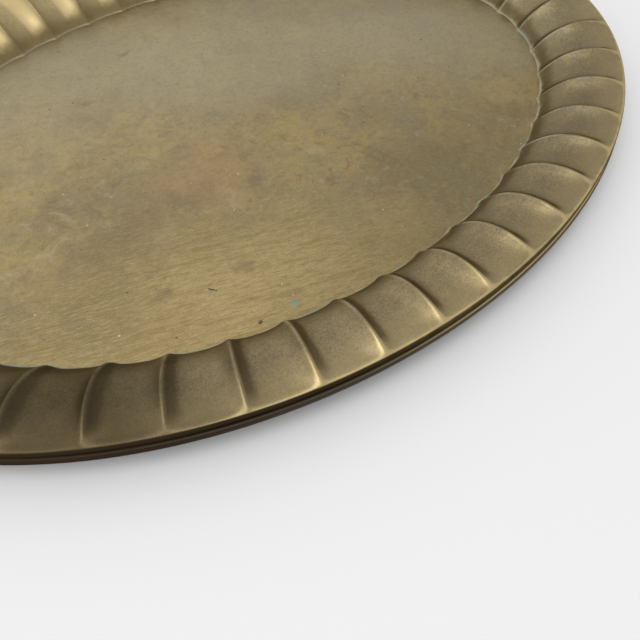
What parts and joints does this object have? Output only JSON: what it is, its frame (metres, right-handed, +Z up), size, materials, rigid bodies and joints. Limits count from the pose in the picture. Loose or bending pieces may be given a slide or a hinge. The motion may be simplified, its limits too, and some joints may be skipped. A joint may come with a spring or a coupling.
{
  "type": "oval serving tray",
  "caption": "Large oval brass serving tray with a flat floor, a raised fluted pie-crust rim, a turned-down band and a rolled, wired edge.",
  "frame": {"origin": "centre of the tray's footprint, on the surface it stands on", "axes": "+Z up, +X along the tray's length, +Y across its width"},
  "size_m": [0.5998, 0.4418, 0.0252],
  "materials": {
    "brass_sheet": "aged, cloudy brown-olive patina over worn brass, brighter on ridges and shoulder",
    "brass_wire": "dull drawn wire"
  },
  "bodies": {
    "root": {"tray_sheet": "brass_sheet", "rim_wire": "brass_wire"}
  },
  "joints": []
}
